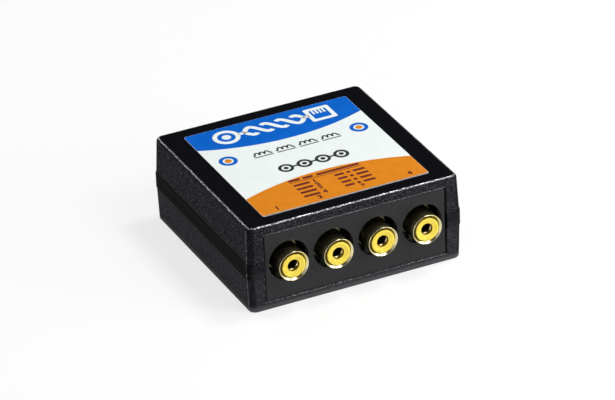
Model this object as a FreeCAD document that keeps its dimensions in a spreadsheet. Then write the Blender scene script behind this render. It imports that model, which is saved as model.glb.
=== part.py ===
import FreeCAD, Part
import math
import os
from types import SimpleNamespace

import Sketcher
from FreeCAD import Placement, Rotation, Vector

# A four-channel video balun: a two-part moulded box with a panel at each end, four phono jacks in front,
# an eight-way modular socket behind, and a board with one wound ferrite ring for each channel.
# +X runs to the right along the front, +Y to the back and +Z up, from the middle of the underside.
# Lengths are in millimetres and angles in degrees.

SIZES = {
    # Case, measured at the parting line between its halves
    "case_width": 61.0,
    "case_depth": 59.0,
    "case_height": 24.5,
    "parting_height": 12.0,
    "corner_round": 2.0,
    "top_round": 1.15,
    "bottom_round": 0.75,
    "draft_upper": 2.4,
    "draft_lower": 1.45,
    "wall": 2.0,
    "roof_thickness": 2.2,
    "floor_thickness": 2.2,
    # Rim band round each half, and the tongue that lines the halves up
    "rim_height": 2.1,
    "rim_proud": 0.08,
    "rim_chamfer": 0.25,
    "tongue_thickness": 0.85,
    "tongue_height": 1.5,
    "tongue_gap": 0.1,
    # Window at each end and the stepped panel that fills it
    "window_width": 52.2,
    "window_bottom": 2.4,
    "window_brow": 2.65,
    "panel_setback": 0.55,
    "panel_side_gap": 0.3,
    "panel_end_gap": 0.12,
    "sill_round": 0.25,
    "plate_thickness": 1.0,
    "flange_thickness": 1.2,
    "flange_reach": 1.1,
    "groove_gap": 0.1,
    "rib_thickness": 1.2,
    "panel_hole_diameter": 11.3,
    "panel_hole_height": 13.0,
    "plate_chamfer": 0.2,
    # Phono jacks
    "jack_pitch": 12.7,
    "jack_height": 12.75,
    "jack_reach": 3.15,
    "barrel_diameter": 8.3,
    "barrel_bore": 6.08,
    "barrel_length": 9.0,
    "barrel_flange_diameter": 9.6,
    "barrel_flange_thickness": 0.6,
    "lip_round": 0.5,
    "lip_flare_width": 0.55,
    "lip_flare_depth": 0.45,
    "insert_recess": 0.02,
    "insert_length": 4.4,
    "insert_gap": 0.04,
    "insert_rim": 0.65,
    "dish_depth": 0.3,
    "dish_floor": 0.3,
    "dish_round": 0.2,
    "entry_gap": 0.05,
    "entry_depth": 0.95,
    "contact_bore": 3.2,
    "contact_wall": 0.45,
    "contact_gap": 0.05,
    "contact_recess": 0.1,
    "contact_length": 2.4,
    "contact_lead_in": 0.4,
    "contact_slit": 0.4,
    "leaf_width": 0.8,
    "leaf_thickness": 0.2,
    "leaf_gap": 0.15,
    "tail_thickness": 0.3,
    "tail_place": 15.0,
    "lug_thickness": 0.4,
    "lug_diameter": 9.4,
    "lug_leg_width": 2.0,
    "housing_width": 10.0,
    "housing_depth": 8.4,
    "housing_above_axis": 5.0,
    "housing_chamfer": 0.8,
    "housing_back_wall": 1.4,
    "nose_gap": 0.05,
    "axis_over_board": 6.75,
    # Board and the screws that clamp it between the halves
    "board_thickness": 1.6,
    "board_gap": 0.3,
    "solder_reach": 1.2,
    "solder_hole_gap": 0.2,
    "boss_wall_gap": 1.8,
    "boss_jack_gap": 0.5,
    "boss_diameter": 5.6,
    "boss_root": 0.3,
    "pilot_diameter": 2.4,
    "pilot_depth": 10.0,
    "standoff_diameter": 8.4,
    "screw_hole_diameter": 3.2,
    "counterbore_diameter": 5.9,
    "counterbore_depth": 2.6,
    "screw_head_diameter": 5.3,
    "screw_head_height": 1.9,
    "screw_head_round": 0.8,
    "screw_shank_diameter": 2.3,
    "screw_length": 12.0,
    "screw_point": 1.2,
    "recess_width": 0.8,
    "recess_span": 3.0,
    "recess_depth": 1.1,
    # Ferrite rings and their windings
    "core_diameter": 9.0,
    "core_bore": 4.6,
    "core_height": 3.2,
    "core_chamfer": 0.35,
    "core_along": -1.0,
    "wire": 0.45,
    "wire_gap": 0.05,
    "turns": 10,
    # Modular socket
    "socket_width": 15.9,
    "socket_height": 13.2,
    "socket_depth": 15.1,
    "socket_proud": 0.3,
    "socket_gap": 0.2,
    "mouth_width": 11.7,
    "mouth_height": 6.7,
    "mouth_over_board": 4.3,
    "mouth_depth": 12.0,
    "latch_width": 6.3,
    "latch_drop": 1.9,
    "notch_width": 3.3,
    "notch_drop": 1.0,
    "peg_diameter": 3.2,
    "peg_spacing": 11.43,
    "peg_setback": 8.9,
    "spring_count": 8,
    "spring_pitch": 1.02,
    "spring_width": 0.45,
    "spring_thickness": 0.3,
    "spring_gap": 0.1,
    "spring_tip_gap": 0.2,
    "spring_arm": 0.36,
    "spring_knee": 0.15,
    "spring_front": 2.6,
    "spring_reach": 6.6,
    "spring_drop": 2.4,
    "spring_bend": 0.9,
    "spring_top": 1.0,
    "carrier_width": 9.8,
    "carrier_thickness": 1.3,
    "comb_width": 0.35,
    "comb_depth": 0.45,
    # Label on the lid
    "label_width": 47.4,
    "label_depth": 48.65,
    "label_thickness": 0.15,
    "label_round": 0.6,
    "label_shift": -0.24,
}
JACK_COUNT = 4
# The leads drop from every second turn, counted from the ring's left and right
TURNS_TO_LEAD = 2
# A face is upright if its normal rises less than this, and an edge if it spans this share of the height
UPRIGHT_SLOPE = 0.5
UPRIGHT_SHARE = 0.9
TOLERANCE = 1e-4


class Length:
    """A number together with the sheet formula that gives it, so that both stay in step."""

    def __init__(self, number, formula):
        self.number = number
        self.formula = formula

    def __add__(self, other):
        other = as_length(other)
        return Length(self.number + other.number, f"({self.formula} + {other.formula})")

    def __sub__(self, other):
        other = as_length(other)
        return Length(self.number - other.number, f"({self.formula} - {other.formula})")

    def __mul__(self, other):
        other = as_length(other)
        return Length(self.number * other.number, f"({self.formula} * {other.formula})")

    def __truediv__(self, other):
        other = as_length(other)
        return Length(self.number / other.number, f"({self.formula} / {other.formula})")

    def __neg__(self):
        return Length(-self.number, f"(-1 * {self.formula})")

    __radd__ = __add__
    __rmul__ = __mul__

    def __rsub__(self, other):
        return as_length(other) - self


def as_length(item):
    if isinstance(item, Length):
        return item
    return Length(float(item), f"({float(item)!r})")


def tangent(angle):
    return Length(math.tan(math.radians(angle.number)), f"tan({angle.formula})")


def sine(angle):
    return Length(math.sin(math.radians(angle.number)), f"sin({angle.formula})")


def cosine(angle):
    return Length(math.cos(math.radians(angle.number)), f"cos({angle.formula})")


def make_sheet():
    """Write the sizes to the sheet and return them as lengths that know their cells."""
    sheet = doc.addObject("Spreadsheet::Sheet", "Sizes")
    cells = {}
    for row, (name, number) in enumerate(SIZES.items(), start=1):
        sheet.set(f"A{row}", name)
        sheet.set(f"B{row}", str(number))
        sheet.setAlias(f"B{row}", name)
        cells[name] = Length(float(number), f"Sizes.{name}")
    doc.recompute()
    return SimpleNamespace(**cells)


def place(item, x=0, y=0, z=0, rotation=None):
    """Put a sub-part at lengths that stay bound to the sheet."""
    spot = {"x": as_length(x), "y": as_length(y), "z": as_length(z)}
    item.Placement = Placement(Vector(*(length.number for length in spot.values())), rotation or Rotation())
    for axis, length in spot.items():
        item.setExpression(f"Placement.Base.{axis}", length.formula)


def new_body(label):
    body = doc.addObject("PartDesign::Body", label)
    body.Label = label
    return body


def new_sketch(body, name, role, offset=0):
    """Attach an empty sketch to one of the body's own planes, moved along the plane's normal."""
    sketch = body.newObject("Sketcher::SketchObject", name)
    plane = next(item for item in body.Origin.OriginFeatures if item.Role == role)
    sketch.AttachmentSupport = [(plane, "")]
    sketch.MapMode = "FlatFace"
    shift = as_length(offset)
    sketch.AttachmentOffset = Placement(Vector(0, 0, shift.number), Rotation())
    sketch.setExpression("AttachmentOffset.Base.z", shift.formula)
    return sketch


def pin_point(sketch, edge, end, x, y):
    """Hold one point of the sketch at x and y from the sketch's origin."""
    for kind, coordinate in (("DistanceX", as_length(x)), ("DistanceY", as_length(y))):
        index = sketch.addConstraint(Sketcher.Constraint(kind, -1, 1, edge, end, coordinate.number))
        sketch.setExpression(f"Constraints[{index}]", coordinate.formula)


def draw_polygon(sketch, corners):
    """Draw a closed outline through the corners, each a pair of lengths."""
    corners = [(as_length(x), as_length(y)) for x, y in corners]
    points = [Vector(x.number, y.number, 0) for x, y in corners]
    first = sketch.GeometryCount
    count = len(corners)
    for index in range(count):
        sketch.addGeometry(Part.LineSegment(points[index], points[(index + 1) % count]), False)
    for index in range(count):
        following = first + (index + 1) % count
        sketch.addConstraint(Sketcher.Constraint("Coincident", first + index, 2, following, 1))
        pin_point(sketch, first + index, 1, *corners[index])


def draw_rectangle(sketch, left, right, low, high):
    draw_polygon(sketch, [(left, low), (right, low), (right, high), (left, high)])


def draw_rounded_rectangle(sketch, half_width, half_depth, radius):
    """Draw a rectangle about the origin, with its corners as tangent arcs."""
    flat_x, flat_y = half_width - radius, half_depth - radius
    runs = [((-flat_x, -half_depth), (flat_x, -half_depth)), ((half_width, -flat_y), (half_width, flat_y)),
            ((flat_x, half_depth), (-flat_x, half_depth)), ((-half_width, flat_y), (-half_width, -flat_y))]
    for start, end in runs:
        points = [Vector(x.number, y.number, 0) for x, y in (start, end)]
        sketch.addGeometry(Part.LineSegment(*points), False)
    centres = [(flat_x, -flat_y), (flat_x, flat_y), (-flat_x, flat_y), (-flat_x, -flat_y)]
    for corner, (x, y) in enumerate(centres):
        circle = Part.Circle(Vector(x.number, y.number, 0), Vector(0, 0, 1), radius.number)
        begin = math.radians(90 * corner - 90)
        sketch.addGeometry(Part.ArcOfCircle(circle, begin, begin + math.pi / 2), False)
    count = len(runs)
    for corner in range(count):
        arc = count + corner
        sketch.addConstraint(Sketcher.Constraint("Coincident", corner, 2, arc, 1))
        sketch.addConstraint(Sketcher.Constraint("Coincident", arc, 2, (corner + 1) % count, 1))
        start, end = runs[corner]
        pin_point(sketch, corner, 1, *start)
        pin_point(sketch, corner, 2, *end)
        index = sketch.addConstraint(Sketcher.Constraint("Radius", arc, radius.number))
        sketch.setExpression(f"Constraints[{index}]", radius.formula)


def draw_circle(sketch, x, y, radius):
    x, y, radius = as_length(x), as_length(y), as_length(radius)
    circle = Part.Circle(Vector(x.number, y.number, 0), Vector(0, 0, 1), radius.number)
    number = sketch.addGeometry(circle, False)
    pin_point(sketch, number, 3, x, y)
    index = sketch.addConstraint(Sketcher.Constraint("Radius", number, radius.number))
    sketch.setExpression(f"Constraints[{index}]", radius.formula)


def extrude(kind, body, name, sketch, length, backward, centred):
    feature = body.newObject(kind, name)
    feature.Profile = sketch
    feature.setExpression("Length", as_length(length).formula)
    feature.Reversed = backward
    if centred:
        feature.SideType = "Symmetric"
    return feature


def pad(body, name, sketch, length, backward=False, centred=False):
    return extrude("PartDesign::Pad", body, name, sketch, length, backward, centred)


def pocket(body, name, sketch, length, backward=False):
    return extrude("PartDesign::Pocket", body, name, sketch, length, backward, False)


def revolve(body, name, sketch):
    feature = body.newObject("PartDesign::Revolution", name)
    feature.Profile = sketch
    feature.ReferenceAxis = (sketch, ["V_Axis"])
    feature.Angle = 360
    return feature


def edges_of(feature, wanted):
    """Name the feature's edges that pass the test, once it has a shape."""
    doc.recompute()
    edges = enumerate(feature.Shape.Edges, start=1)
    return [f"Edge{number}" for number, edge in edges if wanted(edge)]


def round_edges(body, name, base, radius, wanted):
    names = edges_of(base, wanted)
    feature = body.newObject("PartDesign::Fillet", name)
    feature.Base = (base, names)
    feature.setExpression("Radius", as_length(radius).formula)
    return feature


def bevel_edges(body, name, base, size, wanted):
    names = edges_of(base, wanted)
    feature = body.newObject("PartDesign::Chamfer", name)
    feature.Base = (base, names)
    feature.setExpression("Size", as_length(size).formula)
    return feature


def on_level(axis, place_on_axis):
    """Return a test for edges that lie wholly in one plane across the axis."""
    level = as_length(place_on_axis).number

    def test(edge):
        box = edge.BoundBox
        low = getattr(box, f"{axis}Min")
        high = getattr(box, f"{axis}Max")
        return abs(low - level) < TOLERANCE and abs(high - level) < TOLERANCE

    return test


def derive(size):
    """Work out the places that several pieces share."""
    shared = SimpleNamespace()
    shared.cavity_half_width = size.case_width / 2 - size.wall
    shared.panel_face = size.case_depth / 2 - size.panel_setback
    shared.flange_face = shared.panel_face - size.plate_thickness
    shared.groove_outer = shared.flange_face + size.groove_gap
    shared.groove_inner = shared.flange_face - size.flange_thickness - size.groove_gap
    shared.cavity_half_depth = shared.groove_inner - size.rib_thickness
    shared.ceiling = size.case_height - size.roof_thickness
    shared.window_top = size.case_height - size.window_brow
    shared.board_top = size.jack_height - size.axis_over_board
    shared.board_bottom = shared.board_top - size.board_thickness
    shared.solder_level = shared.board_bottom - size.solder_reach
    wall_lean = tangent(size.draft_lower) * (size.parting_height - shared.board_bottom)
    shared.board_half_width = shared.cavity_half_width - wall_lean - size.board_gap
    shared.board_half_depth = shared.cavity_half_depth - size.board_gap
    shared.jack_front = shared.panel_face + size.jack_reach
    shared.housing_front = size.barrel_length + size.lug_thickness
    shared.insert_back = size.insert_recess + size.insert_length
    jack_back = shared.jack_front - shared.housing_front - size.housing_depth
    shared.boss_along = jack_back - size.boss_jack_gap - size.boss_diameter / 2
    shared.boss_side = shared.cavity_half_width - size.boss_wall_gap - size.boss_diameter / 2
    shared.contact_outer = size.contact_bore / 2 + size.contact_wall
    shared.entry_radius = size.contact_bore / 2 + size.entry_gap
    shared.entry_back = size.insert_recess + size.dish_depth + size.entry_depth
    shared.contact_front = shared.entry_back + size.contact_recess
    shared.turn_inner = size.core_bore / 2 - size.wire_gap - size.wire
    shared.turn_outer = size.core_diameter / 2 + size.wire_gap + size.wire
    shared.turn_height = size.core_height + 2 * (size.wire_gap + size.wire)
    shared.lead_radius = shared.turn_outer - size.wire / 2
    shared.socket_face = shared.panel_face + size.socket_proud
    shared.socket_back = shared.socket_face - size.socket_depth
    shared.socket_top = shared.board_top + size.socket_height
    shared.mouth_floor = shared.board_top + size.mouth_over_board
    shared.mouth_ceiling = shared.mouth_floor + size.mouth_height
    shared.spring_level = shared.mouth_ceiling + size.spring_top
    shared.spring_tail = shared.socket_back + size.carrier_thickness + size.spring_gap
    shared.spring_half_width = size.spring_count * size.spring_pitch / 2 + size.spring_gap
    return shared


def lead_spots(size, shared):
    """The four places, seen from a ring's centre, where its winding goes into the board."""
    angle = as_length(360 * TURNS_TO_LEAD) / size.turns
    across = shared.lead_radius * cosine(angle)
    along = shared.lead_radius * sine(angle)
    return [(across * side, along * end) for side in (-1, 1) for end in (-1, 1)]


def channel_place(size, index):
    """How far right of the middle the jack and the ring of one channel stand."""
    return size.jack_pitch * (index - (JACK_COUNT - 1) / 2)


def boss_spots(shared):
    """The four bosses, each clear of a side wall, the front ones just behind the outer jacks."""
    return [(shared.boss_side * side, shared.boss_along * end) for side in (-1, 1) for end in (-1, 1)]


def case_block(body, size, upward):
    """One half as a drafted, rounded block with its rim band."""
    level = size.parting_height
    tall = size.case_height - level if upward else level
    half_width, half_depth = size.case_width / 2, size.case_depth / 2
    outline = new_sketch(body, "outline", "XY_Plane", level)
    draw_rectangle(outline, -half_width, half_width, -half_depth, half_depth)
    block = pad(body, "block", outline, tall, backward=not upward)
    doc.recompute()
    sides = []
    rim = []
    for number, face in enumerate(block.Shape.Faces, start=1):
        if abs(face.normalAt(0, 0).z) < UPRIGHT_SLOPE:
            sides.append(f"Face{number}")
        elif abs(face.CenterOfMass.z - level.number) < TOLERANCE:
            rim.append(f"Face{number}")
    drafted = body.newObject("PartDesign::Draft", "draft")
    drafted.Base = (block, sides)
    drafted.NeutralPlane = (block, rim)
    drafted.setExpression("Angle", (size.draft_upper if upward else size.draft_lower).formula)
    drafted.Reversed = not upward
    corners = round_edges(body, "corners", drafted, size.corner_round,
                          lambda edge: edge.BoundBox.ZLength > UPRIGHT_SHARE * tall.number)
    far_level = size.case_height if upward else 0
    far_round = size.top_round if upward else size.bottom_round
    round_edges(body, "far_edge", corners, far_round, on_level("Z", far_level))

    band_width, band_depth = half_width + size.rim_proud, half_depth + size.rim_proud
    band_outline = new_sketch(body, "band_outline", "XY_Plane", level)
    draw_rounded_rectangle(band_outline, band_width, band_depth, size.corner_round + size.rim_proud)
    band = pad(body, "band", band_outline, size.rim_height, backward=not upward)
    if not upward:
        bevel_edges(body, "rim_bevel", band, size.rim_chamfer, on_level("Z", level))


def case_cavity(body, size, shared, upward):
    """Hollow the half, and cut its windows and the grooves that hold the panels."""
    level = size.parting_height
    skin = size.roof_thickness if upward else size.floor_thickness
    tall = size.case_height - level if upward else level
    far = shared.window_top if upward else size.window_bottom
    groove_far = far + size.flange_reach + size.groove_gap
    if not upward:
        groove_far = far - size.flange_reach - size.groove_gap
    half_window = size.window_width / 2
    half_groove = half_window + size.flange_reach + size.groove_gap

    cavity = new_sketch(body, "cavity_outline", "XY_Plane", level)
    draw_rectangle(cavity, -shared.cavity_half_width, shared.cavity_half_width,
                   -shared.cavity_half_depth, shared.cavity_half_depth)
    pocket(body, "cavity", cavity, tall - skin, backward=upward)

    window = new_sketch(body, "window_outline", "XZ_Plane", size.case_depth)
    draw_rectangle(window, -half_window, half_window, level, far)
    pocket(body, "window", window, size.case_depth * 2)
    for name, start in (("front", shared.groove_outer), ("rear", -shared.groove_inner)):
        groove = new_sketch(body, f"{name}_groove_outline", "XZ_Plane", start)
        draw_rectangle(groove, -half_groove, half_groove, level, groove_far)
        pocket(body, f"{name}_groove", groove, shared.groove_outer - shared.groove_inner)


def upper_shell(size, shared):
    body = new_body("upper_shell")
    case_block(body, size, upward=True)
    case_cavity(body, size, shared, upward=True)
    inner = shared.cavity_half_width
    outer = inner + size.tongue_thickness + size.tongue_gap
    for name, low, high in (("left", -outer, -inner), ("right", inner, outer)):
        rebate = new_sketch(body, f"{name}_rebate_outline", "XY_Plane", size.parting_height)
        draw_rectangle(rebate, low, high, -shared.cavity_half_depth, shared.cavity_half_depth)
        pocket(body, f"{name}_rebate", rebate, size.tongue_height + size.tongue_gap, backward=True)
    bosses = new_sketch(body, "boss_outline", "XY_Plane", shared.board_top)
    for x, y in boss_spots(shared):
        draw_circle(bosses, x, y, size.boss_diameter / 2)
    pad(body, "bosses", bosses, shared.ceiling - shared.board_top + size.boss_root)
    pilots = new_sketch(body, "pilot_outline", "XY_Plane", shared.board_top)
    for x, y in boss_spots(shared):
        draw_circle(pilots, x, y, size.pilot_diameter / 2)
    pocket(body, "pilots", pilots, size.pilot_depth, backward=True)
    place(body)
    return body


def lower_shell(size, shared):
    body = new_body("lower_shell")
    case_block(body, size, upward=False)
    case_cavity(body, size, shared, upward=False)
    inner = shared.cavity_half_width
    outer = inner + size.tongue_thickness
    length = shared.cavity_half_depth - size.tongue_gap
    for name, low, high in (("left", -outer, -inner), ("right", inner, outer)):
        tongue = new_sketch(body, f"{name}_tongue_outline", "XY_Plane", size.parting_height)
        draw_rectangle(tongue, low, high, -length, length)
        pad(body, f"{name}_tongue", tongue, size.tongue_height)
    at_sill = on_level("Z", size.window_bottom)
    spanning = size.window_width.number - TOLERANCE
    face = shared.panel_face.number
    round_edges(body, "sill_edges", body.Tip, size.sill_round,
                lambda edge: at_sill(edge) and edge.BoundBox.XLength > spanning
                and abs(edge.BoundBox.YMin) > face)
    start = size.floor_thickness - size.boss_root
    standoffs = new_sketch(body, "standoff_outline", "XY_Plane", start)
    for x, y in boss_spots(shared):
        draw_circle(standoffs, x, y, size.standoff_diameter / 2)
    pad(body, "standoffs", standoffs, shared.board_bottom - start)
    bores = new_sketch(body, "bore_outline", "XY_Plane", 0)
    for x, y in boss_spots(shared):
        draw_circle(bores, x, y, size.screw_hole_diameter / 2)
    pocket(body, "bores", bores, shared.board_bottom, backward=True)
    sinks = new_sketch(body, "counterbore_outline", "XY_Plane", 0)
    for x, y in boss_spots(shared):
        draw_circle(sinks, x, y, size.counterbore_diameter / 2)
    pocket(body, "counterbores", sinks, size.counterbore_depth, backward=True)
    place(body)
    return body


def blank_panel(label, size, shared):
    """The stepped panel that both ends share, modelled at the front."""
    body = new_body(label)
    half_plate = size.window_width / 2 - size.panel_side_gap
    plate_low = size.window_bottom + size.panel_end_gap
    plate_high = shared.window_top - size.panel_end_gap
    plate = new_sketch(body, "plate_outline", "XZ_Plane", shared.panel_face)
    draw_rectangle(plate, -half_plate, half_plate, plate_low, plate_high)
    face = pad(body, "plate", plate, size.plate_thickness, backward=True)
    bevel_edges(body, "plate_bevel", face, size.plate_chamfer, on_level("Y", -shared.panel_face))
    half_flange = size.window_width / 2 + size.flange_reach
    flange = new_sketch(body, "flange_outline", "XZ_Plane", shared.flange_face)
    draw_rectangle(flange, -half_flange, half_flange,
                   size.window_bottom - size.flange_reach, shared.window_top + size.flange_reach)
    pad(body, "flange", flange, size.flange_thickness, backward=True)
    return body


def front_panel(size, shared):
    body = blank_panel("front_panel", size, shared)
    holes = new_sketch(body, "hole_outline", "XZ_Plane", shared.panel_face)
    for index in range(JACK_COUNT):
        draw_circle(holes, channel_place(size, index), size.panel_hole_height, size.panel_hole_diameter / 2)
    pocket(body, "holes", holes, size.plate_thickness + size.flange_thickness)
    place(body)
    return body


def rear_panel(size, shared):
    body = blank_panel("rear_panel", size, shared)
    half = size.socket_width / 2 + size.socket_gap
    low, high = shared.board_top - size.socket_gap, shared.socket_top + size.socket_gap
    cutout = new_sketch(body, "cutout_outline", "XZ_Plane", shared.panel_face)
    draw_rectangle(cutout, -half, half, low, high)
    pocket(body, "cutout", cutout, size.plate_thickness + size.flange_thickness)
    place(body, rotation=Rotation(Vector(0, 0, 1), 180))
    return body


def seat_on_channel(body, size, shared, index):
    """Turn a jack piece so that its own +Z points into the case, and set it on its channel's axis."""
    place(body, channel_place(size, index), -shared.jack_front, size.jack_height,
          Rotation(Vector(1, 0, 0), -90))
    return body


def jack_barrel(size, shared, index):
    """The outer contact: a turned tube with a flared lip, round outside, and a root flange."""
    body = new_body(f"jack_barrel_{index + 1}")
    inner, outer, flange = size.barrel_bore / 2, size.barrel_diameter / 2, size.barrel_flange_diameter / 2
    root = size.barrel_length - size.barrel_flange_thickness
    section = new_sketch(body, "section", "XZ_Plane")
    draw_polygon(section, [(inner + size.lip_flare_width, 0), (outer, 0), (outer, root), (flange, root),
                           (flange, size.barrel_length), (inner, size.barrel_length),
                           (inner, size.lip_flare_depth)])
    tube = revolve(body, "tube", section)
    at_lip = on_level("Z", 0)
    longest = 2 * math.pi * outer.number
    round_edges(body, "lip_edge", tube, size.lip_round,
                lambda edge: at_lip(edge) and edge.Length > longest - TOLERANCE)
    return seat_on_channel(body, size, shared, index)


def jack_insert(size, shared, index):
    """The coloured insulator: dished towards the plug's way in, with a wider seat for the contact behind."""
    body = new_body(f"jack_insert_{index + 1}")
    outer = size.barrel_bore / 2 - size.insert_gap
    entry, seat = shared.entry_radius, shared.contact_outer + size.contact_gap
    front, back = size.insert_recess, shared.insert_back
    bottom = front + size.dish_depth
    section = new_sketch(body, "section", "XZ_Plane")
    draw_polygon(section, [(entry, bottom), (entry + size.dish_floor, bottom),
                           (outer - size.insert_rim, front), (outer, front), (outer, back), (seat, back),
                           (seat, shared.entry_back), (entry, shared.entry_back)])
    bushing = revolve(body, "bushing", section)
    at_bottom, at_front = on_level("Z", bottom), on_level("Z", front)
    round_edges(body, "dish_edges", bushing, size.dish_round, lambda edge: at_bottom(edge) or at_front(edge))
    return seat_on_channel(body, size, shared, index)


def jack_contact(size, shared, index):
    """The centre contact: a slit ring with a lead-in, a leaf along the bore and a tail down to the board."""
    body = new_body(f"jack_contact_{index + 1}")
    inner, outer = size.contact_bore / 2, shared.contact_outer
    front = shared.contact_front
    section = new_sketch(body, "section", "XZ_Plane")
    back = front + size.contact_length
    draw_polygon(section, [(inner + size.contact_lead_in, front), (outer, front), (outer, back),
                           (inner, back), (inner, front + size.contact_lead_in)])
    revolve(body, "ring", section)
    slit = new_sketch(body, "slit_outline", "XY_Plane", front)
    draw_rectangle(slit, -size.contact_slit / 2, size.contact_slit / 2, -outer - size.contact_gap, 0)
    pocket(body, "slit", slit, size.contact_length, backward=True)
    leaf_start = front + size.contact_length / 2
    leaf = new_sketch(body, "leaf_outline", "XY_Plane", leaf_start)
    draw_rectangle(leaf, -size.leaf_width / 2, size.leaf_width / 2, inner, inner + size.leaf_thickness)
    pad(body, "leaf", leaf, size.tail_place - leaf_start)
    tail = new_sketch(body, "tail_outline", "XY_Plane", size.tail_place)
    bottom = size.jack_height - shared.solder_level
    draw_rectangle(tail, -size.leaf_width / 2, size.leaf_width / 2, inner, bottom)
    pad(body, "tail", tail, size.tail_thickness)
    return seat_on_channel(body, size, shared, index)


def jack_lug(size, shared, index):
    """The ground lug clamped behind the barrel, with a leg into the board."""
    body = new_body(f"jack_lug_{index + 1}")
    washer = new_sketch(body, "washer_outline", "XY_Plane", size.barrel_length)
    draw_circle(washer, 0, 0, size.lug_diameter / 2)
    pad(body, "washer", washer, size.lug_thickness)
    leg = new_sketch(body, "leg_outline", "XY_Plane", size.barrel_length)
    draw_rectangle(leg, -size.lug_leg_width / 2, size.lug_leg_width / 2,
                   size.barrel_bore / 2, size.jack_height - shared.solder_level)
    pad(body, "leg", leg, size.lug_thickness)
    hole = new_sketch(body, "hole_outline", "XY_Plane", size.barrel_length)
    draw_circle(hole, 0, 0, size.barrel_bore / 2 + size.nose_gap)
    pocket(body, "hole", hole, size.lug_thickness, backward=True)
    return seat_on_channel(body, size, shared, index)


def jack_housing(size, shared, index):
    """The moulded body on the board, with a nose that carries the barrel."""
    body = new_body(f"jack_housing_{index + 1}")
    side, top, cut = size.housing_width / 2, -size.housing_above_axis, size.housing_chamfer
    back = shared.housing_front + size.housing_depth
    block = new_sketch(body, "block_outline", "XY_Plane", shared.housing_front)
    draw_polygon(block, [(-side, size.axis_over_board), (-side, top + cut), (cut - side, top),
                         (side - cut, top), (side, top + cut), (side, size.axis_over_board)])
    pad(body, "block", block, size.housing_depth)
    nose_start = shared.insert_back + size.nose_gap
    nose = new_sketch(body, "nose_outline", "XY_Plane", nose_start)
    draw_circle(nose, 0, 0, size.barrel_bore / 2 - size.insert_gap)
    pad(body, "nose", nose, shared.housing_front - nose_start)
    bore = new_sketch(body, "bore_outline", "XY_Plane", nose_start)
    draw_circle(bore, 0, 0, shared.contact_outer + size.leaf_gap)
    pocket(body, "bore", bore, back - size.housing_back_wall - nose_start, backward=True)
    slot = new_sketch(body, "slot_outline", "XY_Plane", size.tail_place - size.leaf_gap)
    half_slot = size.leaf_width / 2 + size.leaf_gap
    draw_rectangle(slot, -half_slot, half_slot, 0, size.axis_over_board)
    pocket(body, "slot", slot, size.tail_thickness + 2 * size.leaf_gap, backward=True)
    return seat_on_channel(body, size, shared, index)


def circuit_board(size, shared):
    """The board, with its holes taken from the pieces that pass through them."""
    body = new_body("circuit_board")
    outline = new_sketch(body, "board_outline", "XY_Plane", shared.board_bottom)
    draw_rectangle(outline, -shared.board_half_width, shared.board_half_width,
                   -shared.board_half_depth, shared.board_half_depth)
    pad(body, "laminate", outline, size.board_thickness)
    gap = size.solder_hole_gap

    round_holes = new_sketch(body, "round_hole_outline", "XY_Plane", shared.board_bottom)
    for x, y in boss_spots(shared):
        draw_circle(round_holes, x, y, size.screw_hole_diameter / 2)
    for side in (-1, 1):
        draw_circle(round_holes, size.peg_spacing / 2 * side, shared.socket_face - size.peg_setback,
                    (size.peg_diameter + gap) / 2)
    for index in range(JACK_COUNT):
        middle = channel_place(size, index)
        for x, y in lead_spots(size, shared):
            draw_circle(round_holes, middle + x, size.core_along + y, (size.wire + gap) / 2)
    pocket(body, "round_holes", round_holes, size.board_thickness, backward=True)

    slots = new_sketch(body, "slot_outline", "XY_Plane", shared.board_bottom)
    lug_near = size.barrel_length - shared.jack_front
    tail_near = size.tail_place - shared.jack_front
    legs = []
    for index in range(JACK_COUNT):
        middle = channel_place(size, index)
        legs.append((middle, size.lug_leg_width, lug_near, size.lug_thickness))
        legs.append((middle, size.leaf_width, tail_near, size.tail_thickness))
    for index in range(int(size.spring_count.number)):
        middle = size.spring_pitch * (index - (size.spring_count.number - 1) / 2)
        legs.append((middle, size.spring_width, shared.spring_tail, size.spring_thickness))
    for middle, width, near, thickness in legs:
        half = (width + gap) / 2
        draw_rectangle(slots, middle - half, middle + half, near - gap / 2, near + thickness + gap / 2)
    pocket(body, "slots", slots, size.board_thickness, backward=True)
    place(body)
    return body


def balun_core(size, shared, index):
    """A ferrite ring with bevelled edges, lifted off the board by the wire under it."""
    body = new_body(f"balun_core_{index + 1}")
    inner, outer, cut = size.core_bore / 2, size.core_diameter / 2, size.core_chamfer
    tall = size.core_height
    section = new_sketch(body, "section", "XZ_Plane")
    draw_polygon(section, [(inner + cut, 0), (outer - cut, 0), (outer, cut), (outer, tall - cut),
                           (outer - cut, tall), (inner + cut, tall), (inner, tall - cut), (inner, cut)])
    revolve(body, "ring", section)
    place(body, channel_place(size, index), size.core_along, shared.board_top + size.wire + size.wire_gap)
    return body


def balun_winding(size, shared, index):
    """Evenly spaced turns round the ring, with four leads down through the board."""
    body = new_body(f"balun_winding_{index + 1}")
    inner, outer, wire = shared.turn_inner, shared.turn_outer, size.wire
    section = new_sketch(body, "turn_outline", "XZ_Plane")
    draw_rectangle(section, inner, outer, 0, shared.turn_height)
    draw_rectangle(section, inner + wire, outer - wire, wire, shared.turn_height - wire)
    turn = pad(body, "turn", section, wire, centred=True)
    doc.recompute()
    turns = body.newObject("PartDesign::PolarPattern", "turns")
    turns.Originals = [turn]
    turns.Axis = (next(item for item in body.Origin.OriginFeatures if item.Role == "Z_Axis"), [""])
    turns.Angle = 360
    turns.setExpression("Occurrences", "Sizes.turns")
    body.Tip = turns
    doc.recompute()
    leads = new_sketch(body, "lead_outline", "XY_Plane", shared.solder_level - shared.board_top)
    for x, y in lead_spots(size, shared):
        draw_circle(leads, x, y, wire / 2)
    pad(body, "leads", leads, shared.board_top - shared.solder_level + wire)
    place(body, channel_place(size, index), size.core_along, shared.board_top)
    return body


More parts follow.
